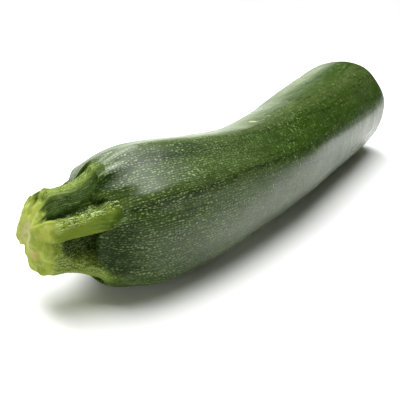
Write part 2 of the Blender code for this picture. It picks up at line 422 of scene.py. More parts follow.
def fruit_tree(material):
    """The fruit's skin, grown along an axis curve."""
    net, given = open_tree("Fruit skin", [(s, "Float") for s in (*FRUIT_SIZES, "Joint at")])
    grid = net.node("GeometryNodeMeshGrid", None, {
        "Size X": 1.0, "Size Y": 1.0, "Vertices X": FRUIT_RINGS + 1,
        "Vertices Y": FRUIT_AROUND + 1})
    t, around, _ = net.split(net.node("GeometryNodeInputPosition"))
    t, around = t + 0.5, (around + 0.5) * tau + SEAM

    def part(start, end):
        return net.ramp(t, start, end, shape="LINEAR")

    disc, end = part(0, DISC_SHARE), part(DISC_SHARE, END_SHARE)
    body, cap = part(END_SHARE, BODY_SHARE), part(BODY_SHARE, 1)

    from_rib = None
    for foot, rib in zip(FOOT_ANGLES, RIB_ANGLES):
        crest = net.ramp(end, 0, FOOT_LEAN_END, float(foot), float(rib))
        offset = net.maths("ABSOLUTE", net.maths("WRAP", around - crest, pi, -pi))
        from_rib = offset if from_rib is None else net.maths("MINIMUM", from_rib, offset)
    valley = net.ramp(from_rib, END_RIDGE_HALF_WIDTH, END_VALLEY_HALF_WIDTH)
    foot = net.ramp(from_rib, FOOT_RIB, FOOT_GROOVE, RIB_RADII[0], GROOVE_RADIUS_AT_JOINT)

    def end_curve(column):
        over, between = ([p[column] * MM for p in curve]
                         for curve in (END_OVER_RIDGE, END_IN_VALLEY))
        return net.ramp(valley, 0, 1, cubic(over, end), cubic(between, end), "LINEAR")

    turn = (cap ** 1.5) * (pi / 2)
    station = (end_curve(0) + body * (BULB_STATION - SHOULDER_STATION)
               + (given["Length"] - BULB_STATION) * (net.maths("SINE", turn) ** (2 / 3)))
    along = net.maths("MAXIMUM", station - SHOULDER_STATION, 0.0)
    fading = net.maths("EXPONENT", -(along / given["Fade"]))
    spread = (1 - fading) * RIDGE_SPREAD_GROWTH + RIDGE_SPREAD
    ridge = given["Ridge"] * (fading * 0.75 + 0.25) * net.bell(from_rib, 0.0, spread)
    body_radius = (given["Shoulder"]
                   + (given["Waist"] - given["Shoulder"])
                   * net.ramp(station, SHOULDER_STATION, WAIST_STATION)
                   + (given["Bulb"] - given["Waist"])
                   * net.ramp(station, WAIST_STATION, BULB_STATION) + ridge)
    reach_out = net.ramp(end, 0, 1)
    radius = end_curve(1) + foot * (1 - reach_out) + body_radius * reach_out
    radius = radius * disc * net.maths("COSINE", turn)
    scar = net.ramp(radius, *SCAR_RADII) * net.ramp(cap, 0.5, 0.6)
    station = station - given["Dimple"] * scar

    def swelling(length, turns):
        return net.smooth_noise(net.around(station / length, around, turns), 1) - 0.5

    swell = swelling(26 * MM, 1.1) + swelling(9 * MM, 3.2) * 0.3
    radius = radius + given["Swell"] * swell * 2 * net.maths("COSINE", turn) * disc * reach_out

    line = net.node("GeometryNodeSampleCurve", {"mode": "LENGTH"}, {
        "Curves": given["Geometry"], "Length": station + given["Joint at"]}, "Position")
    tangent = line.out("Tangent")
    side = net.vectors("NORMALIZE", net.vectors("CROSS_PRODUCT", tangent, (0, 0, 1)))
    up = net.vectors("CROSS_PRODUCT", side, tangent)
    angle = around + given["Twist"] * net.ramp(station, *TWIST_STATIONS)
    outward = net.vectors("ADD", net.scaled(side, net.maths("COSINE", angle)),
                          net.scaled(up, net.maths("SINE", angle)))
    point = net.vectors("ADD", line, net.scaled(outward, radius))
    x, y, z = net.split(point)
    point = net.vector(x, y, net.maths("MAXIMUM", z, 0.0))

    # The skin's own map: station in units of MAP_LENGTH, and the share of a turn from the seam
    named = grid
    for label, kind, domain, value in (
            ("UVMap", "FLOAT2", "CORNER", net.vector(station / MAP_LENGTH, (around - SEAM) / tau)),
            ("from_rib", "FLOAT", "POINT", from_rib),
            ("scar", "FLOAT", "POINT", scar)):
        named = net.node("GeometryNodeStoreNamedAttribute", {"data_type": kind, "domain": domain}, {
            "Geometry": named, "Name": label, "Value": value})
    moved = net.node("GeometryNodeSetPosition", None, {"Geometry": named, "Position": point})
    closed = net.node("GeometryNodeMergeByDistance", None, {
        "Geometry": moved, "Distance": 0.002 * MM})
    smooth = net.node("GeometryNodeSetShadeSmooth", None, {"Geometry": closed})
    close_tree(net, smooth, material)
    return net.tree


def axis_curve(name):
    """The courgette's axis as a curve object, and the joint's distance along it."""
    stations = np.linspace(AXIS_START, AXIS_END, AXIS_STEPS)
    points = axis_frames(stations)[0]
    lengths = np.concatenate([[0], np.cumsum(np.linalg.norm(np.diff(points, axis=0), axis=1))])
    curve = bpy.data.curves.new(name, "CURVE")
    curve.dimensions = "3D"
    spline = curve.splines.new("POLY")
    spline.points.add(len(points) - 1)
    spline.points.foreach_set("co", np.column_stack([points, np.ones(len(points))]).ravel())
    return add_object(name, curve), float(np.interp(0, stations, lengths))


# Marks on the skin: what, station in mm, polar angle in degrees, half length and width in mm
SKIN_MARKS = [
    ("scuff", 14.8, 30.4, 1.4, 0.5), ("scuff", 21.8, 26.2, 2.2, 0.6),
    ("fleck", 70, 99, 0.8, 2.0), ("scuff", 76, 71, 0.5, 2.6), ("fleck", 175.7, 57.9, 0.7, 0.6),
    ("scuff", 118, 70, 0.6, 0.5), ("scuff", 95, 12, 0.9, 0.4)]
MARK_SHARES = {"scuff": 0.3, "fleck": 0.8}
# Radius at which a mark's width is measured
MARK_RADIUS = 22 * MM
# Painted shade as dark lines in the valleys below the ridges: which ridge, degrees below its crest
# near the stalk and farther on, width in degrees and length in mm
RIDGE_SHADE_LINES = [(0, 7, -1, 3, 130), (1, 15, 12, 4, 62)]
SKIN_ROWS = 160
# Flecks: how much their rows sway, rows round the fruit, pitch in mm, half width and half length
# in cells, share of the cells that are filled, and a seed. The first two stand near the stalk.
FLECKS = [
    (1, SKIN_ROWS, 1.15, 0.2, 0.44, 0.84, 11), (0.6, SKIN_ROWS * 1.3, 0.8, 0.17, 0.42, 0.72, 27),
    (2, 110, 1.15, 0.22, 0.26, 0.55, 41), (2, 170, 0.8, 0.34, 0.34, 0.60, 73)]
# Lobe at the back whose crease stays light, with the painted crease shade mostly left off: its
# middle and width
BACK_LOBE = radians(122), radians(30)


def skin_flecks(net, station, share, rows, pitch, width, length, filled, seed):
    """Pale flecks in rows along the skin: 1 at a fleck's middle."""
    row = share * rows
    lane = net.maths("FLOOR", row)
    shift = net.node("ShaderNodeTexWhiteNoise", {"noise_dimensions": "1D"}, {"W": lane + seed})
    column = station / (pitch * MM) + shift * 7.3
    cell = net.maths("FLOOR", column)
    luck = net.node("ShaderNodeTexWhiteNoise", {"noise_dimensions": "2D"}, {
        "Vector": net.vector(lane + seed, cell)}, "Color")
    parts = net.node("ShaderNodeSeparateColor", None, {"Color": luck})
    across = row - lane - 0.5 + (parts - 0.5) * 0.45
    along = column - cell - 0.5 + (parts.out("Green") - 0.5) * 0.5
    size = parts.out("Blue") * 0.7 + 0.55
    across, along = across / (size * width), along / (size * length)
    spot = net.ramp(across * across + along * along, 1.0, 0.35)
    chance = net.node("ShaderNodeTexWhiteNoise", {"noise_dimensions": "3D"}, {
        "Vector": net.vector(lane, cell, seed + 3.5)})
    return spot * net.ramp(chance, filled, filled - 0.12)


def skin_material(colours):
    """Waxy green skin with pale flecks."""
    material, net, shader = new_material("Courgette skin")
    station, share, _ = net.split(net.node("ShaderNodeUVMap", {"uv_map": "UVMap"}))
    station = station * MAP_LENGTH
    from_rib, scar = net.attribute("from_rib"), net.attribute("scar")
    around = share * tau + SEAM

    def noise_over(length, turns, detail=2.0, roughness=0.5):
        return net.smooth_noise(
            net.around(station / (length * MM), around, turns), detail, roughness)

    def along(start, end, low=0.0, high=1.0):
        return net.ramp(station, start * MM, end * MM, low, high)

    # Broad bands along the fruit, clouds, fine streaks and threads, and a painted highlight along
    # the ridge crests
    bands = noise_over(70, 2.6)
    clouds = noise_over(16, 2.4, 3)
    streaks = noise_over(14, 22, 3, 0.6)
    threads = noise_over(7, 48, 2, 0.6)
    to_far = along(30, 120)
    # Painted highlight: pale crests of the ridges, fading away from the stalk
    crest = net.ramp(from_rib, radians(6), radians(2)) * along(60, 8)
    base = net.coats(
        colours.skin, (to_far, colours.skin_far),
        (net.ramp(bands, 0.40, 0.66) * 0.8, colours.skin_pale),
        (net.ramp(clouds, 0.45, 0.72) * 0.4, colours.skin_deep),
        (net.ramp(streaks, 0.46, 0.66) * 0.7, colours.skin_deep),
        (net.ramp(threads, 0.5, 0.7) * 0.5, colours.skin_pale),
        (crest * 0.5, colours.skin_pale))

    # Painted shade: dark lines in the valleys below the ridges, and darkening in the creases round
    # the stalk
    sway = (noise_over(8, 9, 3) - 0.5) * 0.022
    for rib, near_gap, far_gap, width, reach in RIDGE_SHADE_LINES:
        middle = RIB_ANGLES[rib] - along(12, 60, radians(near_gap), radians(far_gap))
        line = net.bell(around + sway * 3, middle, radians(width))
        line = line * along(reach, reach * 0.3) * net.ramp(streaks, 0.2, 0.5)
        base = net.blend(line * 0.9, base, colours.skin_deep)
    crease = along(13, 0) * net.ramp(from_rib, radians(9), radians(17))
    back_lobe = net.bell(around, *BACK_LOBE)
    shade = crease * (1 - back_lobe * 0.8)
    base = net.blend(shade * 0.95, base, colours.skin_deep)

    # Flecks: dense dashes near the stalk, sparser and rounder towards the blossom end
    dashes, more, dots, crumbs = (
        skin_flecks(net, station, share + sway * swing, *numbers) for swing, *numbers in FLECKS)
    clumps = noise_over(9, 5)
    between = net.ramp(net.maths("PINGPONG", (share + sway) * SKIN_ROWS, 0.5), 0.26, 0.04)
    base = net.blend(between * along(45, 10) * 0.4, base, colours.skin_deep)
    near, far = along(80, 25), along(15, 75)
    flecks = net.maths("MAXIMUM", net.maths("MAXIMUM", dashes, more * 0.6) * near,
                       net.maths("MAXIMUM", dots, crumbs * 0.35) * far)
    # Flecks are dimmed under the painted crease shade
    flecks = flecks * net.ramp(clumps, 0.3, 0.55, 0.45, 1.0) * (1 - shade * 0.5)
    flecks = flecks * along(181, 150, 0.3, 1.0)
    base = net.blend(flecks * 0.95, base, net.blend(to_far * 0.4, colours.fleck, colours.lime))

    # Single marks
    grain = noise_over(2.2, 10, 3)
    tints = {"scuff": colours.scuff, "fleck": colours.pith}
    for what, at, angle, length, width in SKIN_MARKS:
        lengthwise = (station - at * MM) / (length * MM)
        across = net.maths("WRAP", around - radians(angle), pi, -pi) * (MARK_RADIUS / (width * MM))
        spot = net.ramp(lengthwise * lengthwise + across * across + (grain - 0.5) * 1.6, 1.3, 0.4)
        base = net.blend(spot * MARK_SHARES[what], base, tints[what])

    # Rib tips run on over the crests as faint lime tongues, and the blossom left a pale scar
    wobble = noise_over(3, 9) - 0.5
    reach = station + wobble * 2.4 * MM + from_rib * from_rib * (60 * MM)
    base = net.coats(
        base, (net.ramp(reach, 7 * MM, 3.6 * MM) * 0.22, colours.lime),
        (scar * net.ramp(grain, 0.3, 0.65, 0.55, 0.95), colours.pith))
    gloss = net.ramp(clouds, 0.3, 0.7, 0.26, 0.34) + flecks * 0.08 + scar * 0.3

    # Wax shines most below the first ridge, and hardly in the creases round the stalk
    shader.inputs["IOR"].default_value = 1.15
    shader.inputs["Coat Roughness"].default_value = 0.34
    edge = along(30, 95, radians(4), float(RIB_ANGLES[0]) - radians(2))
    soft = along(30, 95, radians(22), radians(3.5))
    below = net.ramp(around, edge + soft, edge - soft) * along(5, 40)
    above = along(30, 110, 0.5, 0.16)
    below = below * along(175, 135, 0.15, 1.0)
    wax = (above + below * 0.6 + (streaks - 0.5) * 0.35) * (1 - crease * 0.95)
    wax = wax * (1 - back_lobe * along(30, 10) * 0.9)
    pores = noise_over(1.6, 16, 3)
    ripples = noise_over(5, 7, 2)
    folds = noise_over(3.2, 1.5, 2) * below
    relief = pores * 0.35 + flecks * 0.8 + streaks * 0.9 + ripples + folds * 3
    net.feed(shader, Base_Color=base, Roughness=gloss, Coat_Weight=wax,
             Normal=net.bump(relief, 0.5, 0.2 * MM))
    return material


class COURGETTE_OT_fruit(bpy.types.Operator):
    """Grow the fruit along its axis"""
    bl_idname = "courgette.fruit"
    bl_label = "Fruit"

    def execute(self, context):
        sizes = context.scene.courgette_fruit
        carrier, joint_at = axis_curve("fruit axis")
        tree = fruit_tree(skin_material(context.scene.courgette_colours))
        inputs = {name: getattr(sizes, name.lower()) for name in FRUIT_SIZES}
        piece = grown(carrier, tree, {"Joint at": joint_at, **inputs}, "fruit_skin")
        finish_piece(piece, "fruit")
        return {"FINISHED"}


# ---- Stalk -----------------------------------------------------------------

STALK_AROUND = 480
STALK_TONGUE_RINGS, STALK_SIDE_RINGS, STALK_RIM_RINGS, STALK_CUT_RINGS = 14, 120, 16, 40
# Side rings over which the ribs rise to meet their tongues
STALK_BLEND_RINGS = 14
# How much of a groove's width its two walls take, for the groove after each rib
WALLS = [(0.42, 0.58), (0.2, 0.25), (0.5, 0.5), (0.16, 0.2), (0.5, 0.12)]
# How late those walls close in on their way to the cut: 1 is evenly
WALL_LATENESS = [(1, 1), (1, 1), (1, 1), (1, 1), (3.2, 1)]
CUT_RIM, CUT_DOME, CUT_HOLLOW = 2.8 * MM, 2.6 * MM, 1.6 * MM
# How far the ribs' faces fall from their crests in mm, at the joint and at the cut, and the half
# width over which they do, in half widths of the rib
FACE_FALLS, FACE_HALF_WIDTH = (0.5, 0.8), 1.15
# Swelling under the cut: height in mm, and its middle and width as shares of the side
CUT_SWELLING, CUT_SWELLING_MIDDLE, CUT_SWELLING_WIDTH = 0.6, 0.92, 0.14
# The groove that fades out towards the cut, and over which shares of the side
FADING_GROOVE, FADING_SHARES = 4, (0.76, 0.96)
# The groove whose painted shade starts late, and over which shares of the side
LIGHT_FOOT_GROOVE, LIGHT_FOOT_SHARES = 0, (-0.25, 0.55)
FIBRES_ROUND, FIBRE_LENGTH = 9, 5 * MM
LUMP_SIZE, SMALL_LUMP_SIZE = 4.4 * MM, 1.7 * MM
# For each rib: how much painted shade its faces get and how speckled they are, lower face first
RIB_FACE_SHADE = [(0.15, 0.0), (1.0, 0.25), (0.6, 0.4), (0.5, 0.6), (0.0, 0.3)]
RIB_SPECKS = [(0.05, 1.0), (0.1, 0.5), (0.4, 0.4), (0.4, 0.4), (0.3, 0.6)]
TONGUE_HALF_WIDTH = radians(15)
# Polar angle of the reddish spot at the rim of the cut
BLUSH_ANGLE = radians(-38)
# How far the stalk's foot reaches under the skin, and how deep it lies there
FOOT_DEPTH, FOOT_COVER = 2.2 * MM, 0.3 * MM


def sector_table(pairs):
    """Edges of the ribs as angles, with the turn of the first rib added at the end."""
    edges = np.radians(np.array(pairs, float))
    return np.concatenate([edges, edges[:1] + tau])


def rib_pattern(around, share):
    """Depth in the grooves and which groove; the nearest rib and the offset from its crest."""
    joint, cut = sector_table(RIB_EDGES_AT_JOINT), sector_table(RIB_EDGES_AT_CUT)
    crests = sector_table(RIB_CRESTS)
    start = float(np.radians(RIB_EDGES_AT_CUT[0][0]))
    turn = (around - start) % tau + start
    shape = np.broadcast(turn, share).shape
    depth, groove, rib = np.zeros(shape), np.zeros(shape, int), np.zeros(shape, int)
    offset, nearest = np.zeros(shape), np.full(shape, 99.0)
    for index in range(5):
        late, later = (share ** lateness for lateness in WALL_LATENESS[index])
        low = mix(joint[index, 1], cut[index, 1], late)
        high = mix(joint[index + 1, 0], cut[index + 1, 0], later)
        width = np.maximum(high - low, radians(3))
        first, second = (width * wall for wall in WALLS[index])
        for whole in (-tau, 0, tau):
            angle = turn + whole
            here = np.clip(np.minimum((angle - low) / first, (high - angle) / second), 0, 1)
            depth = np.maximum(depth, here * (2 - here))
            groove = np.where((angle > low - 0.2) & (angle <= high + 0.2), index, groove)
        crest = mix(crests[index, 0], crests[index, 1], share)
        half = mix(joint[index, 1] - joint[index, 0], cut[index, 1] - cut[index, 0], share) / 2
        away = ((turn - crest + pi) % tau - pi) / half
        closer = np.abs(away) < nearest
        rib, offset = np.where(closer, index, rib), np.where(closer, away, offset)
        nearest = np.minimum(np.abs(away), nearest)
    return depth, groove, rib, offset


def rib_radius(share):
    """Radius over the ribs at a share of the way from the joint to the cut."""
    flare = (1 - np.clip(share / NECK_SHARE, 0, 1)) ** FLARE_POWER
    rib = mix(RIB_RADII[1], RIB_RADII[0], flare)
    return mix(rib, RIB_RADII[2], smoothstep(NECK_SHARE, 1, share))


def bumps(points, size, seed):
    """Smooth noise about 0 at points, with features of a size."""
    flat = (points / size + seed).reshape(-1, 3)
    values = [noise.noise(Vector(p)) for p in flat]
    return np.array(values).reshape(points.shape[:-1])


def fruit_end_radius(around, station):
    """Radius of the fruit's end round the stalk, at stations for each polar angle."""
    t = np.linspace(0, 1, 80)[:, None]
    crests = mix(FOOT_ANGLES, RIB_ANGLES, smoothstep(0, FOOT_LEAN_END, t))
    from_rib = np.abs((around[None, :, None] - crests[:, None] + pi) % tau - pi).min(-1)
    valley = smoothstep(END_RIDGE_HALF_WIDTH, END_VALLEY_HALF_WIDTH, from_rib)
    foot = mix(RIB_RADII[0], GROOVE_RADIUS_AT_JOINT, smoothstep(FOOT_RIB, FOOT_GROOVE, from_rib))
    shoulder = (SHOULDER_RADIUS + RIDGE_HEIGHT * np.exp(-(from_rib / RIDGE_SPREAD) ** 2)) * MM
    weights = (1 - t) ** 3, 3 * t * (1 - t) ** 2, 3 * t * t * (1 - t), t ** 3
    curve = [sum(w * mix(a[k], b[k], valley) * MM for w, a, b in
                 zip(weights, END_OVER_RIDGE, END_IN_VALLEY)) for k in (0, 1)]
    radius = curve[1] + mix(foot, shoulder, t * t * (3 - 2 * t))
    columns = [np.interp(station[:, i], curve[0][:, i], radius[:, i])
               for i in range(len(around))]
    return np.array(columns).T


def stalk_form(sizes):
    """The stalk's points, ring by ring from the fruit to the middle of the cut, and its values."""
    around = np.linspace(0, tau, STALK_AROUND, endpoint=False)[None, :]
    from_rib = np.abs((around[..., None] - mix(FOOT_ANGLES, RIB_ANGLES, 0.4) + pi) % tau
                      - pi).min(-1)
    # Shares of the way along the side, round the rim and in over the cut; the last two are 0
    # until the rings get there
    side_share = np.linspace(0, 1, STALK_SIDE_RINGS)
    rim_turn = np.linspace(0, pi / 2, STALK_RIM_RINGS + 1)[1:]
    inward = np.linspace(0, 1, STALK_CUT_RINGS + 1)[1:]
    later = STALK_RIM_RINGS + STALK_CUT_RINGS
    shares = np.concatenate([side_share, np.ones(later)])[:, None]
    over = np.concatenate([0 * side_share, rim_turn, np.full(STALK_CUT_RINGS, pi / 2)])[:, None]
    inner = np.concatenate([np.zeros(STALK_SIDE_RINGS + STALK_RIM_RINGS), inward])[:, None]
    away = 1 - inner

    depth, groove, rib, offset = rib_pattern(around, shares)
    groove_radius = mix(GROOVE_RADII_AT_JOINT[groove], GROOVE_RADII_AT_CUT[groove],
                        smoothstep(0, 1, shares))
    fold = depth * smoothstep(0.25, 0.95, away) * mix(1, 0.85, np.sin(over))
    fold = fold * np.where(
        groove == FADING_GROOVE, 1 - 0.85 * smoothstep(*FADING_SHARES, shares), 1)
    sunk = mix(rib_radius(shares), groove_radius, fold)
    flat = np.clip(1 - np.abs(offset) / FACE_HALF_WIDTH, 0, 1)
    radius = sunk - (1 - flat) * mix(*FACE_FALLS, shares) * MM * away
    swelling = np.exp(-((shares - CUT_SWELLING_MIDDLE) / CUT_SWELLING_WIDTH) ** 2)
    radius = radius + swelling * CUT_SWELLING * MM * away
    radius = radius - CUT_RIM * (1 - np.cos(over))
    radius = radius * away
    shorter = np.interp(around, RIB_ANGLES, CUT_SHORTER_AT_RIBS, period=tau)
    station = shares * (CUT_RIM + CUT_DOME - STALK_LENGTH) + shares * shorter * away
    station = station - CUT_RIM * np.sin(over) - CUT_DOME * (1 - away ** 2)

    # Fibres along the ribs, lumps round the cut and smaller ones over it
    across, up = np.cos(around) * radius, np.sin(around) * radius
    fibres = bumps(np.stack(np.broadcast_arrays(
        np.cos(around) * FIBRES_ROUND, np.sin(around) * FIBRES_ROUND,
        station / FIBRE_LENGTH), -1), 1.0, 3.1)
    place = np.stack([across, up, station * 0.8], -1)
    lumps, small = bumps(place, LUMP_SIZE, 8.7), bumps(place, SMALL_LUMP_SIZE, 15.2)
    radius = radius + sizes.fibre * fibres * (1 + depth * 1.2) * np.cos(over)
    near_cut = smoothstep(0.5, 0.95, shares)
    swell = near_cut * (sizes.lump * lumps + 0.22 * sizes.lump * small)
    radius = radius + swell * np.cos(over) + swell * np.sin(over) * 0.5 * away
    hollow = np.exp(-(away / 0.45) ** 2) * inner
    station = station - swell * np.sin(over) + hollow * CUT_HOLLOW

    # Foot: over the fruit's crests the rib tips run on as thin tongues; between, it is buried
    back = np.linspace(1, 0, STALK_TONGUE_RINGS, endpoint=False)[:, None]
    tip = sizes.tongue * np.clip(1 - (from_rib / TONGUE_HALF_WIDTH) ** 2, 0, 1) + FOOT_DEPTH
    foot_station = tip * back
    skin = fruit_end_radius(around[0], foot_station)
    on_crest = smoothstep(TONGUE_HALF_WIDTH, TONGUE_HALF_WIDTH * 0.5, from_rib)
    thickness = sizes.tongue_height * (1 - 1.7 * back ** 1.5)
    start = radius[:1].copy()
    rise = smoothstep(STALK_BLEND_RINGS, 0, np.arange(STALK_BLEND_RINGS))[:, None]
    radius[:STALK_BLEND_RINGS] += on_crest * (skin[-1] + thickness[-1] - start) * rise
    buried = mix(start, np.minimum(start, skin - FOOT_COVER), smoothstep(0, 0.6, back))
    foot_radius = mix(buried, skin + thickness, on_crest)

    def with_foot(values):
        values = np.broadcast_to(values, radius.shape)
        return np.concatenate([np.repeat(values[:1], STALK_TONGUE_RINGS, 0), values])

    # Faces with painted shade and speckled faces, which change over softly at the crests
    turn = np.broadcast_to(around, radius.shape)
    upper = smoothstep(-0.22, 0.22, offset)
    dark, specks = (mix(*np.moveaxis(np.array(faces)[rib], -1, 0), upper)
                    for faces in (RIB_FACE_SHADE, RIB_SPECKS))
    shaded = fold * np.where(
        groove == LIGHT_FOOT_GROOVE, smoothstep(*LIGHT_FOOT_SHARES, shares), 1)
    # Painted shade in the grooves, and a crest mask for a painted highlight along the ribs' crests
    values = {"groove": shaded, "dark": dark, "specks": specks,
              "crest": np.clip(1 - np.abs(offset + 0.1) / 0.3, 0, 1), "away": away,
              "turn_x": np.cos(turn), "turn_y": np.sin(turn)}
    values = {label: with_foot(v) for label, v in values.items()}
    radius = np.concatenate([foot_radius, radius])
    station = np.concatenate([foot_station, station])
    values["station"] = station / MM
    centre, side, up = axis_frames(station)
    points = centre + radius[..., None] * (np.cos(around)[..., None] * side
                                           + np.sin(around)[..., None] * up)
    return points, values


def closed_mesh(name, rings):
    """Skin rings into one closed body with a fan at its start and a point at its end."""
    count, around = rings.shape[0] - 1, rings.shape[1]
    points = np.concatenate([rings[:-1].reshape(-1, 3),
                             [rings[0].mean(0), rings[-1].mean(0)]])
    first, last = count * around, (count - 1) * around
    here = np.arange(around)
    following = np.roll(here, -1)
    steps = (np.arange(count - 1) * around)[:, None]
    quads = np.stack([steps + here, steps + following, steps + around + following,
                      steps + around + here], -1).reshape(-1, 4)
    fans = [(int(b), int(a), first) for a, b in zip(here, following)]
    fans += [(int(last + a), int(last + b), first + 1) for a, b in zip(here, following)]
    mesh = bpy.data.meshes.new(name)
    mesh.from_pydata(points.tolist(), [], quads.tolist() + fans)
    mesh.update()
    return mesh


def add_values(mesh, label, values):
    """Store one number for each point of the mesh."""
    attribute = mesh.attributes.new(label, "FLOAT", "POINT")
    filled = np.concatenate([values[:-1].ravel(), [values[0].mean(), values[-1].mean()]])
    attribute.data.foreach_set("value", filled.astype(np.float32))


def stalk_material(colours):
    """Fibrous stalk: painted shade in the grooves and on some faces of the ribs, a painted
    highlight at the crests, streaked ribs with pale specks, yellow-green cut.
    """
    material, net, shader = new_material("Courgette stalk")
    station, groove, dark, specks, crest, away, turn_x, turn_y = map(net.attribute, (
        "station", "groove", "dark", "specks", "crest", "away", "turn_x", "turn_y"))
    station = station * MM

    def along(start, end):
        return net.ramp(station, start * MM, end * MM)

    def along_ribs(length, turns, detail=3.0, roughness=0.6):
        return net.smooth_noise(
            net.vector(station / (length * MM), turn_x * turns, turn_y * turns), detail,
            roughness)

    patches, streaks = along_ribs(7, 7), along_ribs(9, 22)
    threads = along_ribs(6, 44, 2)
    mottle = net.place_noise(2.4, 3, 0.6)
    clouds = net.place_noise(5.5, 2)

    # The cut's colour starts along an uneven edge, and so does the fruit's over the tongues
    uneven = station + (mottle - 0.5) * 3 * MM
    to_cut = net.ramp(uneven + (patches - 0.5) * 4 * MM + dark * 2.4 * MM, -14.4 * MM, -16.4 * MM)
    on_fruit = net.ramp(uneven + (patches - 0.5) * 5 * MM, -0.8 * MM, 2.6 * MM)
    on_rib = 1 - to_cut
    # Painted shade in the grooves, deepest at their floors and fading out at the cut
    sunk = (net.ramp(groove, 0.45, 0.95) * 0.6 + net.ramp(groove, 0.1, 0.6) * 0.38)
    sunk = sunk * along(-17, -14)

    # Ribs: streaks, painted shade on the dark faces, a painted highlight on the light crests, dark
    # mottling, painted shade in the grooves and pale threads
    base = net.coats(
        colours.rib,
        (net.ramp(patches, 0.35, 0.65) * along(-9, 0), colours.lime),
        (net.ramp(streaks, 0.42, 0.62) * dark, colours.rib_dark),
        (dark * 0.93, colours.rib_dark),
        (crest * net.ramp(streaks, 0.3, 0.6) * 0.5, colours.rib),
        (specks * net.ramp(mottle, 0.44, 0.6) * 0.6, colours.rib_dark),
        (sunk, colours.groove),
        (net.ramp(threads, 0.56, 0.7) * on_rib * (dark + sunk) * 0.35, colours.rib),
        (on_fruit * 0.9, colours.skin),
        (net.ramp(threads, 0.45, 0.75) * 0.35, colours.rib_dark),
        (net.ramp(streaks, 0.56, 0.76) * 0.3, colours.bristle))

    # The cut: yellow-green with olive and beige patches, a beige middle and a reddish spot
    wrinkles = net.maths("ABSOLUTE", net.place_noise(3.4, 2) - 0.5)
    wrinkles = net.ramp(wrinkles, 0.03, 0.0) * net.ramp(clouds, 0.45, 0.6)
    spot = turn_x * cos(BLUSH_ANGLE) + turn_y * sin(BLUSH_ANGLE)
    spot = net.ramp(spot + (mottle - 0.5) * 0.05, 0.955, 0.99) * net.bell(away, 0.72, 0.1) * to_cut
    cut = net.coats(
        colours.cut,
        (net.ramp(clouds, 0.40, 0.62) * 0.75, colours.rib),
        (net.ramp(mottle, 0.5, 0.3) * 0.4, colours.pith),
        (net.ramp(away, 0.62, 0.15) * net.ramp(mottle, 0.3, 0.6) * 0.8, colours.pith),
        (net.ramp(mottle, 0.62, 0.8) * 0.5, colours.rib_dark),
        (wrinkles * 0.2, colours.rib_dark),
        (spot * 0.7, colours.blush))

    # Pale specks where bristles stand or have worn off, in loose rows along the ribs
    rows, grit = along_ribs(1.3, 60, 1, 0.4), net.place_noise(0.42, 1)
    speck = net.ramp(rows * 0.55 + grit * 0.45, 0.505, 0.58)
    speck = speck * specks * along(-17, -14.5) * (1 - sunk * 0.5)
    base = net.coats(base, (to_cut, cut), (speck * 0.85, colours.bristle))
    shader.inputs["IOR"].default_value = 1.13
    relief = (streaks + threads * 0.5) * on_rib + speck * 0.5 + mottle * to_cut
    net.feed(shader, Base_Color=base, Roughness=net.ramp(patches, 0.3, 0.7, 0.55, 0.7),
             Normal=net.bump(relief, 0.6, 0.3 * MM))
    return material


class COURGETTE_OT_stalk(bpy.types.Operator):
    """Model the ribbed stalk and its cut end"""
    bl_idname = "courgette.stalk"
    bl_label = "Stalk"

    def execute(self, context):
        points, values = stalk_form(context.scene.courgette_stalk)
        mesh = closed_mesh("stalk", points)
        for label, numbers in values.items():
            add_values(mesh, label, numbers)
        mesh.materials.append(stalk_material(context.scene.courgette_colours))
        mesh.shade_smooth()
        finish_piece(add_object("stalk", mesh), "stem")
        return {"FINISHED"}


# ---- Bristles --------------------------------------------------------------

BRISTLE_SIDES = 5
BRISTLE_LEAN = radians(28)
SQUARE_CENTIMETRES = 10000


def bristle_material(colours):
    """Pale bristles, greener at the foot."""
    material, net, shader = new_material("Courgette bristles")
    tint, up = net.place_noise(1.5, 2), net.attribute("up_bristle")
    base = net.coats(colours.bristle, (net.ramp(tint, 0.35, 0.65) * 0.6, colours.rib),
                     (net.ramp(up, 0.6, 0.0) * 0.7, colours.rib))
    net.feed(shader, Base_Color=base, Roughness=net.ramp(tint, 0.3, 0.7, 0.4, 0.6))
    return material


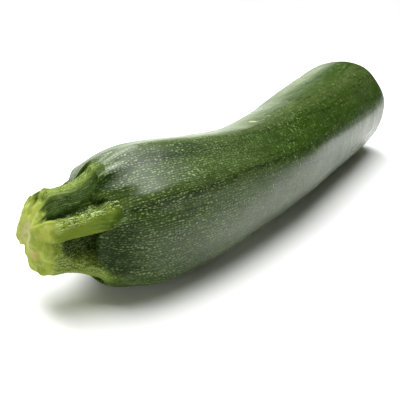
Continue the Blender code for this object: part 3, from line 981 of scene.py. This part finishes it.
def bristle_tree(material):
    """Short cones scattered over the stalk, denser where its faces are speckled."""
    net, given = open_tree("Bristles", [
        ("Density", "Float"), ("Length", "Float"), ("Radius", "Float"), ("Seed", "Int")])

    def stored(label):
        return net.node("GeometryNodeInputNamedAttribute", {"data_type": "FLOAT"},
                        {"Name": label}, "Attribute")

    bare_cut = net.ramp(stored("station"), -16.5, -12)
    density = given["Density"] * stored("specks") * bare_cut * (1 - stored("groove") * 0.7)
    points = net.node("GeometryNodeDistributePointsOnFaces", {"distribute_method": "RANDOM"}, {
        "Mesh": given["Geometry"], "Density": density, "Seed": given["Seed"]}, "Points")
    cone = net.node("GeometryNodeMeshCone", None, {
        "Vertices": BRISTLE_SIDES, "Side Segments": 2, "Radius Top": given["Radius"] * 0.12,
        "Radius Bottom": given["Radius"], "Depth": given["Length"]}, "Mesh")
    height = net.split(net.node("GeometryNodeInputPosition"))[2]
    marked = net.node(
        "GeometryNodeStoreNamedAttribute", {"data_type": "FLOAT", "domain": "POINT"},
        {"Geometry": cone, "Name": "up_bristle", "Value": height / given["Length"]})

    def lean(number):
        return net.node("FunctionNodeRandomValue", {"data_type": "FLOAT"}, {
            "Min": -BRISTLE_LEAN, "Max": BRISTLE_LEAN, "ID": net.node("GeometryNodeInputIndex"),
            "Seed": given["Seed"] + number}, 1)

    turned = net.node("FunctionNodeRotateRotation", {"rotation_space": "LOCAL"}, {
        "Rotation": points.out("Rotation"), "Rotate By": net.vector(lean(1), lean(2))})
    size = net.node("FunctionNodeRandomValue", {"data_type": "FLOAT"}, {
        "Min": 0.45, "Max": 1.0, "Seed": given["Seed"] + 3}, 1)
    bristles = net.node("GeometryNodeInstanceOnPoints", None, {
        "Points": points, "Instance": marked, "Rotation": turned, "Scale": size}, "Instances")
    close_tree(net, bristles, material)
    return net.tree


class COURGETTE_OT_bristles(bpy.types.Operator):
    """Scatter short bristles over the stalk's ribs"""
    bl_idname = "courgette.bristles"
    bl_label = "Bristles"

    def execute(self, context):
        sizes = context.scene.courgette_stalk
        carrier = bpy.data.objects["stalk"].copy()
        context.scene.collection.objects.link(carrier)
        tree = bristle_tree(bristle_material(context.scene.courgette_colours))
        piece = grown(carrier, tree, {
            "Density": sizes.bristles * SQUARE_CENTIMETRES, "Length": sizes.bristle_length,
            "Radius": sizes.bristle_radius, "Seed": sizes.seed}, "stalk_bristles")
        finish_piece(piece, None)
        return {"FINISHED"}


# ---- Table, light and camera -----------------------------------------------

def aim(piece, place, target):
    """Put an object at a place, looking at the target."""
    piece.location = place
    piece.rotation_euler = (Vector(target) - Vector(place)).to_track_quat("-Z", "Y").to_euler()


def area_light(name, place, width, height, power, colour):
    """A soft rectangular light, aimed at the courgette."""
    light = bpy.data.lights.new(name, "AREA")
    light.shape = "RECTANGLE"
    light.size, light.size_y, light.energy, light.color = width, height, power, colour
    aim(add_object(name, light), place, LIGHT_TARGET)


TABLE_RIGHT = 0.4
TABLE_WHITE = 0.92
# Distances from the courgette over which the table turns into a plain white backdrop
BACKDROP = 0.32, 0.6
# Lights: name, place, width and height in metres, brightness and colour
LIGHT_TARGET = (0, 0, 0.02)
LIGHTS = [
    ("overhead softbox", (0.13, 0.08, 1.25), 1.0, 0.95, 8.0, (1, 1, 1)),
    ("key softbox", (0.28, 0.82, 0.95), 0.9, 0.7, 9.8, (1, 1, 1)),
    ("back softbox", (0.15, 1.25, 0.95), 1.0, 0.6, 1.6, (1, 1, 1)),
    ("back reflector", (0.58, 1.16, 0.16), 1.7, 0.32, 2.7, (0.93, 1, 0.82)),
    ("left reflector", (-1.20, 0.05, 0.24), 1.4, 0.44, 2.9, (1, 1, 0.9))]
# Light from all round; the backdrop itself is seen as white
FILL = 0.08
FILL_COLOUR = (0.95, 1, 0.75)
CAMERA_AZIMUTH, CAMERA_ELEVATION, CAMERA_DISTANCE = radians(-49.75), radians(26.15), 0.2708
CAMERA_TARGET = Vector((-7.5 * MM, 18.3 * MM, 0))


def table_material():
    """White table that turns into a plain backdrop far from the courgette."""
    material, net, shader = new_material("White table")
    shader.inputs["Base Color"].default_value = (TABLE_WHITE, TABLE_WHITE, TABLE_WHITE, 1)
    shader.inputs["Roughness"].default_value = 0.7
    place = net.node("ShaderNodeTexCoord", None, None, "Object")
    away = net.node("ShaderNodeVectorMath", {"operation": "LENGTH"}, {0: place}, "Value")
    mixed = net.node("ShaderNodeMixShader", None, {
        0: net.ramp(away, *BACKDROP), 1: Value(net, shader.outputs[0]),
        2: net.node("ShaderNodeEmission")})
    net.feed(net.tree.nodes["Material Output"], Surface=mixed)
    return material


class COURGETTE_OT_studio(bpy.types.Operator):
    """Set up the white table, the soft light and the camera"""
    bl_idname = "courgette.studio"
    bl_label = "Table, light and camera"

    def execute(self, context):
        sizes = context.scene.courgette_studio
        mesh = bpy.data.meshes.new("table")
        half = sizes.table / 2
        mesh.from_pydata([(-half, -half, 0), (TABLE_RIGHT, -half, 0), (TABLE_RIGHT, half, 0),
                          (-half, half, 0)], [], [(0, 1, 2, 3)])
        mesh.materials.append(table_material())
        add_object("table", mesh)

        for name, place, width, height, brightness, colour in LIGHTS:
            power = brightness * sizes.light * pi * width * height
            area_light(name, place, width, height, power, colour)
        world = bpy.data.worlds.new("studio")
        world.use_nodes = True
        net = Net(world.node_tree)
        seen = net.node("ShaderNodeLightPath", None, None, "Is Camera Ray")
        sky = world.node_tree.nodes["Background"]
        net.feed(sky, Strength=seen * (1 - FILL) + FILL,
                 Color=net.blend(seen, FILL_COLOUR, (1, 1, 1)))
        context.scene.world = world
        context.scene.view_settings.view_transform = "Standard"

        camera = add_object("camera", bpy.data.cameras.new("camera"))
        camera.data.lens = sizes.lens
        camera.data.clip_start = 0.01
        level = cos(CAMERA_ELEVATION)
        away = Vector((sin(CAMERA_AZIMUTH) * level, -cos(CAMERA_AZIMUTH) * level,
                       sin(CAMERA_ELEVATION)))
        aim(camera, CAMERA_TARGET + away * CAMERA_DISTANCE, CAMERA_TARGET)
        context.scene.camera = camera
        return {"FINISHED"}


# ---- Panel and running -----------------------------------------------------

class COURGETTE_PT_panel(bpy.types.Panel):
    """Lists the sizes and the steps"""
    bl_idname = "COURGETTE_PT_panel"
    bl_label = "Courgette"
    bl_space_type = "VIEW_3D"
    bl_region_type = "UI"
    bl_category = "Courgette"

    def draw(self, context):
        scene = context.scene
        for group, operators in (
                (scene.courgette_fruit, [COURGETTE_OT_fruit]),
                (scene.courgette_stalk, [COURGETTE_OT_stalk, COURGETTE_OT_bristles]),
                (scene.courgette_colours, []),
                (scene.courgette_studio, [COURGETTE_OT_studio])):
            box = self.layout.box()
            for name in group.__annotations__:
                box.prop(group, name)
            for operator in operators:
                box.operator(operator.bl_idname)


GROUPS = {"courgette_fruit": CourgetteFruit, "courgette_stalk": CourgetteStalk,
          "courgette_colours": CourgetteColours, "courgette_studio": CourgetteStudio}
OPERATORS = [COURGETTE_OT_fruit, COURGETTE_OT_stalk, COURGETTE_OT_bristles, COURGETTE_OT_studio]


def register():
    """Register the classes and hang the settings on the scene."""
    for item in [*GROUPS.values(), *OPERATORS, COURGETTE_PT_panel]:
        bpy.utils.register_class(item)
    for name, group in GROUPS.items():
        setattr(bpy.types.Scene, name, bpy.props.PointerProperty(type=group))


def unregister():
    """Undo register."""
    for name in GROUPS:
        delattr(bpy.types.Scene, name)
    for item in reversed([*GROUPS.values(), *OPERATORS, COURGETTE_PT_panel]):
        bpy.utils.unregister_class(item)


def main():
    """Build the courgette and its table."""
    register()
    for operator in OPERATORS:
        group, name = operator.bl_idname.split(".")
        getattr(getattr(bpy.ops, group), name)()


if __name__ == "__main__":
    main()
